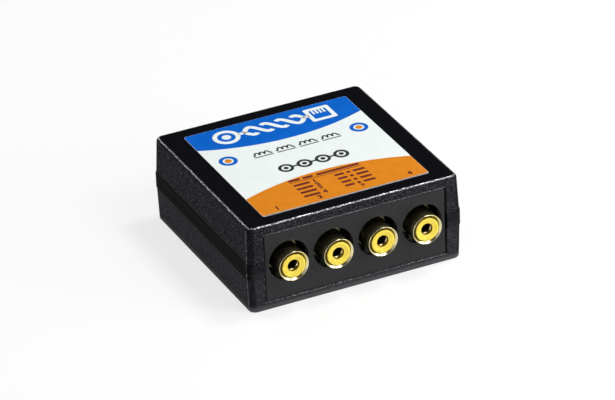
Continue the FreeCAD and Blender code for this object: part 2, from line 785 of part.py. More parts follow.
def socket_housing(size, shared):
    """The modular socket's moulded body: mouth, latch way, spring channel and locating pegs."""
    body = new_body("socket_housing")
    side = size.socket_width / 2
    block = new_sketch(body, "block_outline", "XZ_Plane", -shared.socket_face)
    draw_rectangle(block, -side, side, shared.board_top, shared.socket_top)
    pad(body, "block", block, size.socket_depth)

    wide, latch, notch = size.mouth_width / 2, size.latch_width / 2, size.notch_width / 2
    ceiling, floor = shared.mouth_ceiling, shared.mouth_floor
    latch_floor = floor - size.latch_drop
    notch_floor = latch_floor - size.notch_drop
    mouth = new_sketch(body, "mouth_outline", "XZ_Plane", -shared.socket_face)
    draw_polygon(mouth, [(-wide, ceiling), (-wide, floor), (-latch, floor), (-latch, latch_floor),
                         (-notch, latch_floor), (-notch, notch_floor), (notch, notch_floor),
                         (notch, latch_floor), (latch, latch_floor), (latch, floor), (wide, floor),
                         (wide, ceiling)])
    pocket(body, "mouth", mouth, size.mouth_depth, backward=True)

    half = shared.spring_half_width
    channel_front = shared.socket_face - size.spring_front + size.spring_gap
    channel_top = shared.spring_level + size.spring_gap
    channel_low = shared.spring_level - size.spring_thickness - size.spring_gap
    channel = new_sketch(body, "channel_outline", "XZ_Plane", -channel_front)
    draw_rectangle(channel, -half, half, channel_low, channel_top)
    pocket(body, "channel", channel, channel_front - shared.spring_tail, backward=True)
    comb = new_sketch(body, "comb_outline", "XZ_Plane", -channel_front)
    draw_rectangle(comb, -half, half, shared.mouth_ceiling - size.spring_gap, channel_top)
    pocket(body, "comb", comb, size.spring_gap + size.spring_reach + size.spring_tip_gap, backward=True)

    bay_front = shared.socket_back + size.carrier_thickness + size.comb_depth + size.spring_gap
    bay_side = size.carrier_width / 2 + size.spring_gap
    bay = new_sketch(body, "bay_outline", "XZ_Plane", -bay_front)
    draw_rectangle(bay, -bay_side, bay_side, shared.board_top, channel_top)
    pocket(body, "bay", bay, bay_front - shared.socket_back, backward=True)

    pegs = new_sketch(body, "peg_outline", "XY_Plane", shared.board_bottom)
    peg_place = shared.socket_face - size.peg_setback
    for end in (-1, 1):
        draw_circle(pegs, size.peg_spacing / 2 * end, peg_place, size.peg_diameter / 2)
    pad(body, "pegs", pegs, size.board_thickness + size.spring_gap)
    place(body)
    return body


def socket_carrier(size, shared):
    """The insert behind the springs, with a comb that keeps them apart."""
    body = new_body("socket_carrier")
    half = size.carrier_width / 2
    front = shared.socket_back + size.carrier_thickness
    block = new_sketch(body, "block_outline", "XZ_Plane", -front)
    top = shared.spring_level - size.spring_thickness - size.spring_gap
    draw_rectangle(block, -half, half, shared.board_top, top)
    pad(body, "block", block, size.carrier_thickness)
    combs = new_sketch(body, "comb_outline", "XY_Plane", shared.board_top)
    for index in range(int(size.spring_count.number) + 1):
        middle = size.spring_pitch * (index - size.spring_count.number / 2)
        draw_rectangle(combs, middle - size.comb_width / 2, middle + size.comb_width / 2,
                       front - size.spring_gap, front + size.comb_depth)
    pad(body, "combs", combs, top - shared.board_top)
    place(body)
    return body


def socket_contacts(size, shared):
    """The spring wires: up behind the mouth, along its ceiling, and bent back into it."""
    body = new_body("socket_contacts")
    thick = size.spring_thickness
    tail = shared.spring_tail
    top = shared.spring_level
    front = shared.socket_face - size.spring_front
    bend = top - size.spring_bend
    tip = front - size.spring_reach
    tip_level = shared.mouth_ceiling - size.spring_drop
    knee = bend + size.spring_knee
    section = new_sketch(body, "section", "YZ_Plane")
    draw_polygon(section, [(tail, shared.solder_level), (tail, top), (front, top), (front, bend),
                           (tip, tip_level), (tip, tip_level + size.spring_arm), (front - thick, knee),
                           (front - thick, top - thick), (tail + thick, top - thick),
                           (tail + thick, shared.solder_level)])
    spring = pad(body, "spring", section, size.spring_width, centred=True)
    doc.recompute()
    row = body.newObject("PartDesign::LinearPattern", "row")
    row.Originals = [spring]
    row.Direction = (next(item for item in body.Origin.OriginFeatures if item.Role == "X_Axis"), [""])
    row.setExpression("Length", (size.spring_pitch * (size.spring_count - 1)).formula)
    row.setExpression("Occurrences", "Sizes.spring_count")
    body.Tip = row
    place(body, -(size.spring_pitch * (size.spring_count - 1)) / 2)
    return body


def case_screw(size, shared, number, x, y):
    """One self-tapping screw, head down in its counterbore."""
    body = new_body(f"case_screw_{number}")
    head, shank = size.screw_head_diameter / 2, size.screw_shank_diameter / 2
    tall, cut, length = size.screw_head_height, size.screw_head_round, size.screw_length
    section = new_sketch(body, "section", "XZ_Plane")
    draw_polygon(section, [(0, -tall), (head - cut, -tall), (head, cut - tall), (head, 0), (shank, 0),
                           (shank, length - size.screw_point), (0, length)])
    revolve(body, "turned", section)
    arm, half = size.recess_span / 2, size.recess_width / 2
    cross = new_sketch(body, "cross_outline", "XY_Plane", -tall)
    draw_polygon(cross, [(-arm, -half), (-half, -half), (-half, -arm), (half, -arm), (half, -half),
                         (arm, -half), (arm, half), (half, half), (half, arm), (-half, arm),
                         (-half, half), (-arm, half)])
    pocket(body, "cross", cross, size.recess_depth, backward=True)
    place(body, x, y, size.counterbore_depth)
    return body


def case_screws(size, shared):
    spots = enumerate(boss_spots(shared), start=1)
    group = doc.addObject("Part::Compound", "case_screws")
    group.Label = "case_screws"
    group.Links = [case_screw(size, shared, number, x, y) for number, (x, y) in spots]
    return group


def top_label(size, shared):
    """The film label on the lid."""
    body = new_body("top_label")
    half_width, half_depth, middle = size.label_width / 2, size.label_depth / 2, size.label_shift
    outline = new_sketch(body, "label_outline", "XY_Plane", size.case_height)
    draw_rectangle(outline, -half_width, half_width, middle - half_depth, middle + half_depth)
    film = pad(body, "film", outline, size.label_thickness)
    round_edges(body, "corners", film, size.label_round,
                lambda edge: edge.BoundBox.ZLength > size.label_thickness.number / 2)
    place(body)
    return body


def build_parts():
    """Build every sub-part and return them in the order in which the object comes apart."""
    size = make_sheet()
    shared = derive(size)
    parts = [top_label(size, shared), upper_shell(size, shared), lower_shell(size, shared),
             front_panel(size, shared), rear_panel(size, shared), circuit_board(size, shared)]
    per_channel = (jack_housing, jack_lug, jack_barrel, jack_insert, jack_contact, balun_core, balun_winding)
    for make in per_channel:
        parts += [make(size, shared, index) for index in range(JACK_COUNT)]
    parts += [socket_housing(size, shared), socket_carrier(size, shared), socket_contacts(size, shared),
              case_screws(size, shared)]
    return parts


def check_features():
    """Stop if a feature failed, or if one that should add or remove material did neither."""
    for item in doc.Objects:
        if {"Invalid", "Error"} & set(item.State):
            raise RuntimeError(f"{item.Name} could not be built: {item.State}")
        base = getattr(item, "BaseFeature", None)
        if base is None or item.TypeId == "PartDesign::Body":
            continue
        change = item.Shape.Volume - base.Shape.Volume
        if item.TypeId == "PartDesign::Pocket" and change > -TOLERANCE:
            raise RuntimeError(f"{item.Name} in {item.getParentGeoFeatureGroup().Label} removes nothing")
        if item.TypeId == "PartDesign::Pad" and change < TOLERANCE:
            raise RuntimeError(f"{item.Name} in {item.getParentGeoFeatureGroup().Label} adds nothing")


def write_parts(parts):
    os.makedirs("parts", exist_ok=True)
    for part in parts:
        if part.Shape.isNull() or not part.Shape.isValid():
            raise RuntimeError(f"{part.Label} has no valid solid")
    for part in parts:
        part.Shape.exportStep(f"parts/{part.Label}.step")
        print(f"{part.Label}: {len(part.Shape.Solids)} solid, {part.Shape.Volume:.2f} mm3")


doc = FreeCAD.newDocument("video_balun")
finished = build_parts()
doc.recompute()
check_features()
write_parts(finished)
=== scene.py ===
"""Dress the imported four-channel video balun: its finishes, the print on its label, the light and the camera."""
import logging
import math
from dataclasses import dataclass, field
from enum import Enum
from functools import reduce
from typing import Callable, Sequence

import bmesh
import bpy
from mathutils import Euler, Matrix, Vector


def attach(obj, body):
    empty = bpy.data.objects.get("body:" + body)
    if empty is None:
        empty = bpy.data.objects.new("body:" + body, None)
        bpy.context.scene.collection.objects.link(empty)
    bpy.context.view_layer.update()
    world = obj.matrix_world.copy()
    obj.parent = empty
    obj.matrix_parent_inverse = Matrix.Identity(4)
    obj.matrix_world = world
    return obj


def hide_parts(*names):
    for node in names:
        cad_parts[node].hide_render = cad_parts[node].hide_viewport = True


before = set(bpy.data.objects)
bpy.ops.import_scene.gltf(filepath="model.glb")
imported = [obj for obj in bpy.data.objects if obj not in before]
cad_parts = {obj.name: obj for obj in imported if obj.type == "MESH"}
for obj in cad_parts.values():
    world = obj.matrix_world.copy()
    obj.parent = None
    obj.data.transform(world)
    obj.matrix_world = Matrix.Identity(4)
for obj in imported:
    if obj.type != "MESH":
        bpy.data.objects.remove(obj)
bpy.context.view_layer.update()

MM = 0.001
CHANNELS = (1, 2, 3, 4)

Point = tuple[float, float]
Outline = list[Point]
Span = tuple[float, float]
Triple = tuple[float, float, float]
Colour = Triple
Socket = bpy.types.NodeSocket
BMesh = bmesh.types.BMesh

log = logging.getLogger("video_balun")


def from_screen(red: int, green: int, blue: int) -> Colour:
    """Turn a colour as it looks on a screen into the linear one that a shader takes.

    Args:
        red: Red, from 0 to 255.
        green: Green, from 0 to 255.
        blue: Blue, from 0 to 255.

    Returns:
        The linear colour.
    """
    def linear(value: int) -> float:
        """Undo the screen's curve for one channel."""
        share = value / 255
        return share / 12.92 if share <= 0.04045 else ((share + 0.055) / 1.055) ** 2.4

    return linear(red), linear(green), linear(blue)


class Surface(Enum):
    """How a finish is laid on its piece."""

    EVEN = "the same all over"
    TURNED = "fine marks round the Y axis"


class NodeSketch:
    """The nodes of one material or world, and short ways to add to them."""

    # Where a Mix node has its two colours and their blend
    mixed_from, mixed_to = (6, 7), 2

    def __init__(self, owner: bpy.types.Material | bpy.types.World) -> None:
        """Start on the nodes of a material or a world.

        Args:
            owner: What the nodes belong to.
        """
        owner.use_nodes = True
        self.owner = owner
        self.nodes, self.links = owner.node_tree.nodes, owner.node_tree.links

    @classmethod
    def of_new(cls, name: str) -> "NodeSketch":
        """Return a sketch of a new material."""
        return cls(bpy.data.materials.new(name))

    @property
    def shader(self) -> bpy.types.Node:
        """Return the material's Principled shader."""
        return self.nodes["Principled BSDF"]

    def add(self, kind: str, inputs: dict | None = None, **settings: object) -> bpy.types.Node:
        """Add a node.

        Args:
            kind: The node's type, without its ShaderNode prefix.
            inputs: What goes to its input sockets, numbers or other nodes' sockets.
            **settings: Properties of the node.

        Returns:
            The new node.
        """
        node = self.nodes.new(f"ShaderNode{kind}")
        for name, value in settings.items():
            setattr(node, name, value)
        for name, value in (inputs or {}).items():
            self.feed(node.inputs[name], value)
        return node

    def feed(self, socket: Socket, value: object) -> None:
        """Link a socket to another, or set it to a plain value."""
        if isinstance(value, Socket):
            self.links.new(value, socket)
        else:
            socket.default_value = value

    def position(self) -> Socket:
        """Return the place on the piece, in millimetres."""
        place = self.add("TexCoord").outputs["Object"]
        return self.add("VectorMath", {0: place, "Scale": 1 / MM}, operation="SCALE").outputs["Vector"]

    def noise(self, vector: Socket, size: float, detail: float = 2.0, rough: float = 0.5) -> Socket:
        """Return noise between 0 and 1.

        Args:
            vector: The place, in millimetres.
            size: The width of one blotch, in millimetres.
            detail: How many finer layers lie on it.
            rough: How strong the finer layers are.

        Returns:
            The noise as a value.
        """
        node = self.add("TexNoise", {"Vector": vector, "Scale": 1 / size, "Detail": detail, "Roughness": rough})
        return node.outputs["Fac"]

    def ramp(self, value: Socket, low: float, high: float, at_low: float = 0.0, at_high: float = 1.0) -> Socket:
        """Map a value's range onto another, smoothly and without overshoot.

        Args:
            value: The value to map.
            low: Where the range starts.
            high: Where it ends.
            at_low: The result at its start.
            at_high: The result at its end.

        Returns:
            The mapped value.
        """
        inputs = {"Value": value, "From Min": low, "From Max": high, "To Min": at_low, "To Max": at_high}
        return self.add("MapRange", inputs, interpolation_type="SMOOTHSTEP").outputs["Result"]

    def math(self, operation: str, first: object, second: object = 0.0) -> Socket:
        """Return the result of an operation on one or two values."""
        return self.add("Math", {0: first, 1: second}, operation=operation).outputs["Value"]

    def product(self, *values: object) -> Socket:
        """Return the values multiplied together."""
        return reduce(lambda first, second: self.math("MULTIPLY", first, second), values)

    def highest(self, *values: object) -> Socket:
        """Return the highest of the values."""
        return reduce(lambda first, second: self.math("MAXIMUM", first, second), values)

    def split(self, vector: Socket) -> bpy.types.NodeOutputs:
        """Return a vector's parts, under X, Y and Z."""
        return self.add("SeparateXYZ", {"Vector": vector}).outputs

    def stretch(self, vector: Socket, factors: Triple) -> Socket:
        """Return a vector with each part multiplied by its own factor."""
        return self.add("VectorMath", {0: vector, 1: Vector(factors)}, operation="MULTIPLY").outputs["Vector"]

    def mix(self, share: object, first: object, second: object) -> Socket:
        """Blend two colours, from the first at a share of 0 to the second at 1."""
        node = self.add("Mix", data_type="RGBA")
        self.feed(node.inputs["Factor"], share)
        for place, colour in zip(self.mixed_from, (first, second)):
            self.feed(node.inputs[place], colour if isinstance(colour, Socket) else (*colour, 1.0))
        return node.outputs[self.mixed_to]

    def blend(self, share: object, first: object, second: object) -> Socket:
        """Blend two values, from the first at a share of 0 to the second at 1."""
        node = self.add("Mix", data_type="FLOAT")
        for name, value in (("Factor", share), ("A", first), ("B", second)):
            self.feed(node.inputs[name], value)
        return node.outputs["Result"]

    def bump(self, height: Socket, depth: float) -> Socket:
        """Return a normal raised by a height, where 1 stands out by a depth in millimetres."""
        return self.add("Bump", {"Height": height, "Distance": depth * MM}).outputs["Normal"]


@dataclass(frozen=True)
class Finish:
    """One finish: a colour with flecks, a gloss that varies, and a grain.

    Lengths are in millimetres and colours are linear.
    """

    name: str
    colour: Colour
    fleck: Colour
    fleck_size: float
    roughness: float
    roughness_spread: float
    grain_size: float
    grain_depth: float
    specular: float = 0.5
    metallic: float = 0.0
    coat: float = 0.0
    surface: Surface = Surface.EVEN
    turning: Triple = (0.25, 4.0, 0.25)
    fleck_layers: float = 3.0
    fleck_range: Span = (0.35, 0.7)
    gloss_blotch: float = 2.3
    gloss_range: Span = (0.3, 0.7)

    def build(self) -> bpy.types.Material:
        """Make the material."""
        sketch = NodeSketch.of_new(self.name)
        place = sketch.position()
        if self.surface is Surface.TURNED:
            place = sketch.stretch(place, self.turning)
        shader = sketch.shader.inputs
        sketch.feed(shader["Base Color"], self.flecked(sketch, place))
        sketch.feed(shader["Roughness"], self.gloss(sketch, place))
        sketch.feed(shader["Normal"], sketch.bump(sketch.noise(place, self.grain_size), self.grain_depth))
        shader["Specular IOR Level"].default_value = self.specular
        shader["Metallic"].default_value = self.metallic
        shader["Coat Weight"].default_value = self.coat
        return sketch.owner

    def flecked(self, sketch: NodeSketch, place: Socket) -> Socket:
        """Return the colour with its flecks."""
        flecks = sketch.ramp(sketch.noise(place, self.fleck_size, self.fleck_layers), *self.fleck_range)
        return sketch.mix(flecks, self.colour, self.fleck)

    def gloss(self, sketch: NodeSketch, place: Socket) -> Socket:
        """Return the roughness, in blotches that are wider than the flecks."""
        blotches = sketch.noise(place, self.fleck_size * self.gloss_blotch)
        low, high = self.roughness - self.roughness_spread, self.roughness + self.roughness_spread
        return sketch.ramp(blotches, *self.gloss_range, low, high)


@dataclass(frozen=True)
class Spot:
    """A place on the case and how far its surface faces each way, as a material's nodes give them."""

    place: Socket
    right: Socket
    height: Socket
    sideways: Socket
    endways: Socket
    upward: Socket


@dataclass(frozen=True)
class CaseFinish(Finish):
    """The case's black plastic: spark-eroded sides with painted glints as light specks, round edges that sparkle, a
    smooth lid, smooth dark rim bands with painted shade on their long sides, painted shade on the vertical corners and
    painted light on the lowest strip.

    A range that ends in facing says how far the surface faces a way, from where a share starts to where it is full.
    Other ranges are heights or distances, in the same order.
    """

    lid: Colour = (0.0034, 0.0036, 0.0051)
    lid_roughness: float = 0.4
    lid_facing: Span = (0.955, 0.985)
    edge_roughness: float = 0.3
    edge_facing: Span = (0.66, 0.82)
    edge_end_facing: Span = (0.965, 0.9)
    edge_height: Span = (22.9, 23.1)
    dot_size: float = 0.32
    dot_layers: float = 1.0
    dot_range: Span = (0.5, 0.7)
    dot_sheen: float = 0.08
    # The smooth rim band's dark colour, which is also laid as painted shade on the vertical corners
    band: Colour = (0.0012, 0.0012, 0.0016)
    band_roughness: float = 0.8
    band_low: Span = (9.78, 10.02)
    band_high: Span = (14.22, 13.98)
    band_facing: Span = (0.3, 0.9)
    band_ends: float = 0.28
    # How much painted shade the round of the vertical corners takes
    corner_share: float = 0.6
    corner_endways_facing: Span = (0.28, 0.4)
    corner_sideways_facing: Span = (0.2, 0.4)
    line_share: float = 0.3
    line_facing: Span = (0.08, 0.15)
    line_end_facing: Span = (0.32, 0.25)
    line_upward_facing: Span = (0.3, 0.15)
    sill_share: float = 0.5
    sill_low: Span = (2.0, 2.2)
    sill_high: Span = (2.6, 2.5)
    sill_facing: Span = (0.35, 0.55)
    brow_share: float = 0.45
    brow_low: Span = (21.75, 21.85)
    brow_high: Span = (22.15, 22.05)
    brow_facing: Span = (0.8, 0.9)
    brow_half: Span = (26.1, 26.0)
    # Painted light: the lighter colour of the lowest strip, standing in for the light it takes from the floor
    foot: Colour = (0.07, 0.07, 0.076)
    foot_height: Span = (2.3, 0.9)
    # The colour of the painted glints in the grain
    speckle: Colour = (0.085, 0.085, 0.1)
    speckle_size: float = 0.2
    speckle_layers: float = 1.0
    speckle_range: Span = (0.52, 0.72)
    speckle_squeeze: Triple = (1.0, 0.5, 1.0)
    sparkle: Colour = (0.8, 0.8, 0.84)
    grain_layers: float = 3.0
    grain_harshness: float = 0.6
    smooth_grain: float = 0.08

    def build(self) -> bpy.types.Material:
        """Make the material."""
        sketch = NodeSketch.of_new(self.name)
        spot = self.spot(sketch)
        lid = sketch.ramp(spot.upward, *self.lid_facing)
        edge = sketch.product(sketch.ramp(spot.upward, *self.edge_facing),
                              sketch.ramp(spot.upward, *self.edge_end_facing),
                              sketch.ramp(spot.height, *self.edge_height))
        # The rim band's share: full on the long sides and weaker towards the front and back, which paints shade on the
        # band's long sides
        band = sketch.product(sketch.ramp(spot.height, *self.band_low), sketch.ramp(spot.height, *self.band_high),
                              sketch.ramp(spot.sideways, *self.band_facing, self.band_ends, 1.0))
        glints = self.glints(sketch, spot, edge)
        shader = sketch.shader.inputs
        sketch.feed(shader["Base Color"], sketch.mix(glints, self.plain_colour(sketch, spot, lid, band), self.sparkle))
        sketch.feed(shader["Metallic"], glints)

        rough = self.gloss(sketch, spot.place)
        for share, value in ((band, self.band_roughness), (edge, self.edge_roughness), (lid, self.lid_roughness)):
            rough = sketch.blend(share, rough, value)
        sketch.feed(shader["Roughness"], rough)

        grain = sketch.noise(spot.place, self.grain_size, self.grain_layers, self.grain_harshness)
        strength = sketch.ramp(sketch.highest(lid, band), 0.0, 1.0, 1.0, self.smooth_grain)
        sketch.feed(shader["Normal"], sketch.bump(sketch.product(grain, strength), self.grain_depth))
        shader["Specular IOR Level"].default_value = self.specular
        return sketch.owner

    @staticmethod
    def spot(sketch: NodeSketch) -> Spot:
        """Add what the shares are worked out from."""
        place = sketch.position()
        along = sketch.split(place)
        facing = sketch.split(sketch.add("TexCoord").outputs["Normal"])
        return Spot(place, along["X"], along["Z"], sketch.math("ABSOLUTE", facing["X"]),
                    sketch.math("ABSOLUTE", facing["Y"]), facing["Z"])

    def plain_colour(self, sketch: NodeSketch, spot: Spot, lid: Socket, band: Socket) -> Socket:
        """Return the colour under the glints.

        Args:
            sketch: The material being made.
            spot: The place on the case.
            lid: The lid's share.
            band: The rim band's share, which also paints shade on the band's long sides.

        Returns:
            The colour.
        """
        # Painted glints: light specks of the grain, laid into the colour
        drawn_out = sketch.stretch(spot.place, self.speckle_squeeze)
        glint_specks = sketch.ramp(sketch.noise(drawn_out, self.speckle_size, self.speckle_layers), *self.speckle_range)
        # Painted shade on the round of the vertical corners, in the rim band's dark colour
        corner = sketch.product(sketch.ramp(spot.endways, *self.corner_endways_facing),
                                sketch.ramp(spot.sideways, *self.corner_sideways_facing, 0.0, self.corner_share))
        colour = sketch.mix(glint_specks, self.flecked(sketch, spot.place), self.speckle)
        colour = sketch.mix(sketch.highest(band, corner), colour, self.band)
        # Painted light, lighter towards the bottom of the case
        colour = sketch.mix(sketch.ramp(spot.height, *self.foot_height), colour, self.foot)
        return sketch.mix(lid, colour, self.lid)

    def glints(self, sketch: NodeSketch, spot: Spot, edge: Socket) -> Socket:
        """Return the share of the bright dots along the edges.

        Args:
            sketch: The material being made.
            spot: The place on the case.
            edge: The top edge's share.

        Returns:
            The share.
        """
        spread = sketch.noise(spot.place, self.dot_size, self.dot_layers)
        dots = sketch.ramp(spread, *self.dot_range, self.dot_sheen, 1.0)
        sill = sketch.product(sketch.ramp(spot.height, *self.sill_low), sketch.ramp(spot.height, *self.sill_high),
                              sketch.ramp(spot.upward, *self.sill_facing), self.sill_share)
        line = sketch.product(sketch.ramp(spot.endways, *self.line_facing),
                              sketch.ramp(spot.endways, *self.line_end_facing),
                              sketch.ramp(spot.upward, *self.line_upward_facing, 0.0, self.line_share))
        brow = sketch.product(sketch.ramp(spot.endways, *self.brow_facing),
                              sketch.ramp(spot.height, *self.brow_high, 0.0, self.brow_share),
                              sketch.ramp(spot.height, *self.brow_low),
                              sketch.ramp(sketch.math("ABSOLUTE", spot.right), *self.brow_half))
        return sketch.product(dots, sketch.highest(edge, sill, line, brow))


@dataclass(frozen=True)
class InsulatorFinish(Finish):
    """The insulators' coloured plastic, with painted shade darkening it in the groove round it and in the mouth."""

    # Painted shade: the dark colour laid on the insulator's wall in the groove between it and the shell
    dirt: Colour = (0.12, 0.08, 0.014)
    # Painted shade: the dark colour laid on the mouth's wall, deep inside it
    mouth: Colour = (0.2, 0.12, 0.012)
    pitch: float = 12.7
    axis_height: float = 12.75
    front: float = -32.1
    groove_radius: Span = (3.19, 3.24)
    groove_depth: Span = (0.16, 0.26)
    mouth_radius: Span = (1.7, 1.67)
    mouth_depth: Span = (0.4, 0.6)

    def build(self) -> bpy.types.Material:
        """Make the material."""
        material = super().build()
        sketch = NodeSketch(material)
        place = sketch.split(sketch.position())
        # The place across is counted from the nearest jack's axis
        across = sketch.math("MODULO", sketch.math("ADD", place["X"], 2 * self.pitch), self.pitch)
        across = sketch.math("SUBTRACT", across, self.pitch / 2)
        up = sketch.math("SUBTRACT", place["Z"], self.axis_height)
        radius = sketch.math("SQRT", sketch.math("ADD", sketch.product(across, across), sketch.product(up, up)))
        depth = sketch.math("SUBTRACT", place["Y"], self.front)
        # Painted shade on the insulator's wall in the groove, deep below its front
        groove_shade_share = sketch.product(sketch.ramp(radius, *self.groove_radius), sketch.ramp(depth, *self.groove_depth))
        # Painted shade on the mouth's wall, past the dish and inside its radius
        throat = sketch.product(sketch.ramp(radius, *self.mouth_radius), sketch.ramp(depth, *self.mouth_depth))
        base = sketch.shader.inputs["Base Color"]
        colour = sketch.mix(throat, base.links[0].from_socket, self.mouth)
        sketch.feed(base, sketch.mix(groove_shade_share, colour, self.dirt))
        return material


UPPER_CASE = CaseFinish(
    "upper_case_plastic", colour=(0.005, 0.005, 0.0068), fleck=(0.0105, 0.0105, 0.0132), fleck_size=0.7,
    roughness=0.8, roughness_spread=0.05, grain_size=0.22, grain_depth=0.012, specular=0.06)
LOWER_CASE = CaseFinish(
    "lower_case_plastic", colour=(0.0115, 0.0115, 0.014), fleck=(0.02, 0.02, 0.0235), fleck_size=0.7,
    roughness=0.75, roughness_spread=0.05, grain_size=0.22, grain_depth=0.012, specular=0.06)
PANEL_PLASTIC = Finish(
    "panel_plastic", colour=(0.0125, 0.0125, 0.0145), fleck=(0.0162, 0.0162, 0.0182), fleck_size=0.9,
    roughness=0.42, roughness_spread=0.05, grain_size=0.22, grain_depth=0.008, specular=0.25)


def printed(name: str, colour: Colour, fleck: Colour, fleck_size: float) -> Finish:
    """Return a finish of the label, as flat as the film.

    Args:
        name: The finish's name.
        colour: Its colour.
        fleck: The colour of its flecks.
        fleck_size: How wide they are, in millimetres.

    Returns:
        The finish.
    """
    return Finish(name, colour, fleck, fleck_size, roughness=0.42, roughness_spread=0.04, grain_size=0.5,
                  grain_depth=0.002, specular=0.1)


FILM = printed("label_film", (0.85, 0.91, 0.89), (0.87, 0.93, 0.91), 6.0)
BARE_EDGE = printed("bare_film_edge", from_screen(150, 152, 153), from_screen(172, 174, 175), 1.5)
BLUE_INK = printed("blue_ink", from_screen(0, 97, 200), from_screen(2, 102, 205), 3.0)
ORANGE_INK = printed("orange_ink", from_screen(221, 132, 26), from_screen(226, 137, 31), 3.0)
DARK_INK = printed("dark_ink", from_screen(48, 48, 50), from_screen(60, 60, 62), 1.5)
MAROON_INK = printed("maroon_ink", from_screen(100, 34, 36), from_screen(112, 42, 42), 1.5)
GILT = Finish(
    "gilt", colour=(0.74, 0.66, 0.37), fleck=(0.80, 0.73, 0.45), fleck_size=0.8, roughness=0.21,
    roughness_spread=0.02, grain_size=0.35, grain_depth=0.0004, metallic=1.0, surface=Surface.TURNED)
# Painted shade: the contacts' gilt made dark and brown for the shade deep in the insulators' mouths
SHADE_DARKENED_GILT = Finish(
    "gilt_darkened_for_shade", colour=(0.42, 0.31, 0.13), fleck=(0.5, 0.4, 0.2), fleck_size=0.5, roughness=0.3,
    roughness_spread=0.08, grain_size=0.3, grain_depth=0.006, metallic=1.0)
YELLOW_PLASTIC = InsulatorFinish(
    "yellow_plastic", colour=(0.79, 0.605, 0.04), fleck=(0.845, 0.66, 0.054), fleck_size=1.2, roughness=0.26,
    roughness_spread=0.03, grain_size=0.6, grain_depth=0.002, specular=0.6)
BLACK_MOULDING = Finish(
    "black_moulding", colour=(0.009, 0.009, 0.009), fleck=(0.013, 0.013, 0.013), fleck_size=0.8, roughness=0.4,
    roughness_spread=0.06, grain_size=0.3, grain_depth=0.006, specular=0.4)
TINNED_PLATE = Finish(
    "tinned_plate", colour=(0.5, 0.5, 0.49), fleck=(0.62, 0.62, 0.6), fleck_size=0.5, roughness=0.35,
    roughness_spread=0.1, grain_size=0.3, grain_depth=0.006, metallic=1.0)
BOARD = Finish(
    "board_laminate", colour=(0.012, 0.10, 0.035), fleck=(0.02, 0.15, 0.05), fleck_size=0.6, roughness=0.35,
    roughness_spread=0.05, grain_size=0.4, grain_depth=0.01, specular=0.5)
FERRITE = Finish(
    "ferrite", colour=(0.035, 0.035, 0.04), fleck=(0.07, 0.07, 0.075), fleck_size=0.3, roughness=0.6,
    roughness_spread=0.08, grain_size=0.2, grain_depth=0.01)
COPPER_WIRE = Finish(
    "copper_wire", colour=(0.55, 0.17, 0.05), fleck=(0.7, 0.25, 0.08), fleck_size=0.6, roughness=0.25,
    roughness_spread=0.05, grain_size=0.4, grain_depth=0.003, metallic=1.0, coat=0.5)
SCREW_STEEL = Finish(
    "screw_steel", colour=(0.42, 0.42, 0.43), fleck=(0.55, 0.55, 0.56), fleck_size=0.4, roughness=0.32,
    roughness_spread=0.08, grain_size=0.25, grain_depth=0.006, metallic=1.0)


def circle(x: float, y: float, radius: float, count: int = 48) -> Outline:
    """Return a circle's points in millimetres, counterclockwise."""
    return arc(x, y, radius, 0.0, 360.0 * (count - 1) / count, count)


def arc(x: float, y: float, radius: float, start: float, end: float, count: int) -> Outline:
    """Return points along an arc.

    Args:
        x: The centre's place to the right, in millimetres.
        y: The centre's place to the back.
        radius: The radius.
        start: The first point's angle in degrees, from the right.
        end: The last point's angle.
        count: How many points there are.

    Returns:
        The points.
    """
    angles = [math.radians(start + (end - start) * step / (count - 1)) for step in range(count)]
    return [(x + radius * math.cos(angle), y + radius * math.sin(angle)) for angle in angles]


def rectangle(left: float, right: float, low: float, high: float) -> Outline:
    """Return a rectangle's corners, counterclockwise."""
    return [(left, low), (right, low), (right, high), (left, high)]


def rounded_box(left: float, right: float, low: float, high: float, radius: float, count: int = 6) -> Outline:
    """Return a rectangle with round corners, counterclockwise from its lower right corner.

    Args:
        left: Its left side, in millimetres.
        right: Its right side.
        low: Its front side.
        high: Its back side.
        radius: The corners' radius.
        count: How many points each corner has.

    Returns:
        The points.
    """
    corners = ((right - radius, low + radius, -90.0), (right - radius, high - radius, 0.0),
               (left + radius, high - radius, 90.0), (left + radius, low + radius, 180.0))
    return [point for x, y, turn in corners for point in arc(x, y, radius, turn, turn + 90.0, count)]


def ribbon(path: Outline, width: float) -> Outline:
    """Return the outline of a stroke drawn along a path.

    Args:
        path: The stroke's middle line, in millimetres.
        width: How wide the stroke is.

    Returns:
        The stroke's outline.
    """
    left, right = [], []
    for index, (x, y) in enumerate(path):
        ahead = path[min(index + 1, len(path) - 1)]
        behind = path[max(index - 1, 0)]
        run = Vector((ahead[0] - behind[0], ahead[1] - behind[1])).normalized()
        left.append((x - run.y * width / 2, y + run.x * width / 2))
        right.append((x + run.y * width / 2, y - run.x * width / 2))
    return right + left[::-1]


def plate(mesh: BMesh, outline: Outline, low: float, high: float, hole: Outline | None = None) -> None:
    """Add a flat closed plate to a mesh.

    Args:
        mesh: The mesh to add to.
        outline: The plate's outline, counterclockwise, in millimetres.
        low: The height of its lower face.
        high: The height of its upper face.
        hole: The outline of a hole with as many points, counterclockwise.
    """
    def ring(points: Outline, height: float) -> list[bmesh.types.BMVert]:
        """Add one loop of points at a height."""
        return [mesh.verts.new((x * MM, y * MM, height * MM)) for x, y in points]

    def wall(first: list[bmesh.types.BMVert], second: list[bmesh.types.BMVert]) -> None:
        """Join two loops by a band of faces."""
        count = len(first)
        for index in range(count):
            following = (index + 1) % count
            mesh.faces.new((first[index], first[following], second[following], second[index]))

    bottom, top = ring(outline, low), ring(outline, high)
    wall(bottom, top)
    if hole is None:
        mesh.faces.new(top)
        mesh.faces.new(bottom[::-1])
        return
    inner_bottom, inner_top = ring(hole, low), ring(hole, high)
    wall(inner_top, inner_bottom)
    wall(top, inner_top)
    wall(inner_bottom, bottom)


